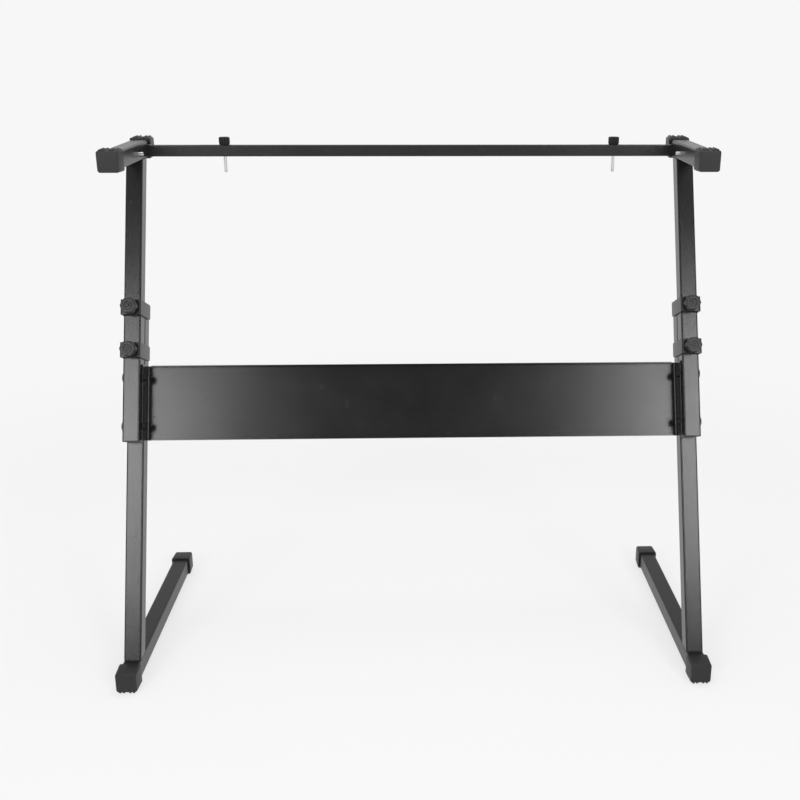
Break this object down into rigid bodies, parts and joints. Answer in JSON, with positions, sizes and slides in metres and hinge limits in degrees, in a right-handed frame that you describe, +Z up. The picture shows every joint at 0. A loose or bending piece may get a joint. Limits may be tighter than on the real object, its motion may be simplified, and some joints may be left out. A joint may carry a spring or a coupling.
{
  "type": "z-style keyboard stand",
  "caption": "Keyboard stand with leaning square-tube legs; the front tubes slide in clamp collars to set its height, and carry capped arms, a folded sheet panel and a slotted top rail.",
  "frame": {"origin": "on the floor, at the middle of the stand's footprint: the bottom centre of its bounding box", "axes": "+X across the stand to the player's right, +Y away from the player, +Z up"},
  "size_m": [0.858, 0.398, 0.7544],
  "materials": {
    "black_coating": "satin black powder coat with a fine texture",
    "black_cap_plastic": "matt black moulded plastic",
    "black_knob_plastic": "semi-matt black moulded plastic",
    "zinc_plated_steel": "bright zinc plating",
    "black_screw_finish": "black oxide with a light oil film"
  },
  "bodies": {
    "left_leg": {"left_foot_tube": "black_coating", "left_foot_front_cap": "black_cap_plastic", "left_foot_rear_cap": "black_cap_plastic", "left_lower_upright": "black_coating", "left_lower_upright_plug": "black_cap_plastic", "left_upper_clamp": "black_coating", "left_upper_clamp_nut": "zinc_plated_steel", "left_lower_clamp": "black_coating", "left_lower_clamp_nut": "zinc_plated_steel"},
    "upper_frame": {"left_upper_upright": "black_coating", "left_upper_upright_plug": "black_cap_plastic", "left_arm_tube": "black_coating", "left_arm_front_cap": "black_cap_plastic", "left_arm_rear_cap": "black_cap_plastic", "left_rail_end": "black_coating", "right_upper_upright": "black_coating", "right_upper_upright_plug": "black_cap_plastic", "right_arm_tube": "black_coating", "right_arm_front_cap": "black_cap_plastic", "right_arm_rear_cap": "black_cap_plastic", "right_rail_end": "black_coating", "cross_panel": "black_coating", "panel_bolts": "black_screw_finish", "panel_nuts": "black_screw_finish", "panel_shims": "black_cap_plastic", "top_rail": "black_coating", "rail_bolts": "black_screw_finish", "arm_bolts": "zinc_plated_steel"},
    "right_leg": {"right_foot_tube": "black_coating", "right_foot_front_cap": "black_cap_plastic", "right_foot_rear_cap": "black_cap_plastic", "right_lower_upright": "black_coating", "right_lower_upright_plug": "black_cap_plastic", "right_upper_clamp": "black_coating", "right_upper_clamp_nut": "zinc_plated_steel", "right_lower_clamp": "black_coating", "right_lower_clamp_nut": "zinc_plated_steel"},
    "left_upper_pad": {"left_upper_clamp_pad": "zinc_plated_steel"},
    "left_upper_knob": {"left_upper_clamp_stud": "zinc_plated_steel", "left_upper_clamp_knob": "black_knob_plastic"},
    "left_lower_pad": {"left_lower_clamp_pad": "zinc_plated_steel"},
    "left_lower_knob": {"left_lower_clamp_stud": "zinc_plated_steel", "left_lower_clamp_knob": "black_knob_plastic"},
    "left_thumb_washer": {"left_thumb_washer": "zinc_plated_steel"},
    "left_thumb_screw": {"left_thumb_head": "black_knob_plastic", "left_thumb_shank": "zinc_plated_steel"},
    "right_upper_pad": {"right_upper_clamp_pad": "zinc_plated_steel"},
    "right_upper_knob": {"right_upper_clamp_stud": "zinc_plated_steel", "right_upper_clamp_knob": "black_knob_plastic"},
    "right_lower_pad": {"right_lower_clamp_pad": "zinc_plated_steel"},
    "right_lower_knob": {"right_lower_clamp_stud": "zinc_plated_steel", "right_lower_clamp_knob": "black_knob_plastic"},
    "right_thumb_washer": {"right_thumb_washer": "zinc_plated_steel"},
    "right_thumb_screw": {"right_thumb_head": "black_knob_plastic", "right_thumb_shank": "zinc_plated_steel"}
  },
  "joints": [
    {"name": "height_slide", "type": "slide", "parent": "left_leg", "child": "upper_frame", "axis": [0, 0.3746, 0.9272], "range_m": [-0.19, 0.008]},
    {"name": "right_height_slide", "type": "slide", "parent": "upper_frame", "child": "right_leg", "axis": [0, 0.3746, 0.9272], "range_m": [-0.008, 0.19]},
    {"name": "left_upper_pad_slide", "type": "slide", "parent": "left_leg", "child": "left_upper_pad", "axis": [0, -0.9272, 0.3746], "range_m": [0, 0.00118]},
    {"name": "left_upper_knob_turn", "type": "hinge", "parent": "left_upper_pad", "child": "left_upper_knob", "pos_m": [-0.413, 0.0021, 0.51996], "axis": [0, -0.9272, 0.3746], "range_deg": [0, 340]},
    {"name": "left_lower_pad_slide", "type": "slide", "parent": "left_leg", "child": "left_lower_pad", "axis": [0, -0.9272, 0.3746], "range_m": [0, 0.00118]},
    {"name": "left_lower_knob_turn", "type": "hinge", "parent": "left_lower_pad", "child": "left_lower_knob", "pos_m": [-0.413, -0.0215, 0.46155], "axis": [0, -0.9272, 0.3746], "range_deg": [0, 340]},
    {"name": "left_thumb_slide", "type": "slide", "parent": "upper_frame", "child": "left_thumb_washer", "axis": [1, 0, 0], "range_m": [-0.035, 0.0094]},
    {"name": "left_thumb_turn", "type": "hinge", "parent": "left_thumb_washer", "child": "left_thumb_screw", "pos_m": [-0.2842, 0.1299, 0.74196], "axis": [0, 0, 1], "continuous": true},
    {"name": "right_upper_pad_slide", "type": "slide", "parent": "right_leg", "child": "right_upper_pad", "axis": [0, -0.9272, 0.3746], "range_m": [0, 0.00118]},
    {"name": "right_upper_knob_turn", "type": "hinge", "parent": "right_upper_pad", "child": "right_upper_knob", "pos_m": [0.413, 0.0021, 0.51996], "axis": [0, -0.9272, 0.3746], "range_deg": [0, 340]},
    {"name": "right_lower_pad_slide", "type": "slide", "parent": "right_leg", "child": "right_lower_pad", "axis": [0, -0.9272, 0.3746], "range_m": [0, 0.00118]},
    {"name": "right_lower_knob_turn", "type": "hinge", "parent": "right_lower_pad", "child": "right_lower_knob", "pos_m": [0.413, -0.0215, 0.46155], "axis": [0, -0.9272, 0.3746], "range_deg": [0, 340]},
    {"name": "right_thumb_slide", "type": "slide", "parent": "upper_frame", "child": "right_thumb_washer", "axis": [1, 0, 0], "range_m": [-0.035, 0.0094]},
    {"name": "right_thumb_turn", "type": "hinge", "parent": "right_thumb_washer", "child": "right_thumb_screw", "pos_m": [0.3098, 0.1299, 0.74196], "axis": [0, 0, 1], "continuous": true}
  ],
  "couplings": [
    {"joint": "right_height_slide", "follows": "height_slide", "ratio": -1},
    {"joint": "left_upper_knob_turn", "follows": "left_upper_pad_slide", "rad_per_m": 5026.5},
    {"joint": "left_lower_knob_turn", "follows": "left_lower_pad_slide", "rad_per_m": 5026.5},
    {"joint": "right_upper_knob_turn", "follows": "right_upper_pad_slide", "rad_per_m": 5026.5},
    {"joint": "right_lower_knob_turn", "follows": "right_lower_pad_slide", "rad_per_m": 5026.5}
  ]
}
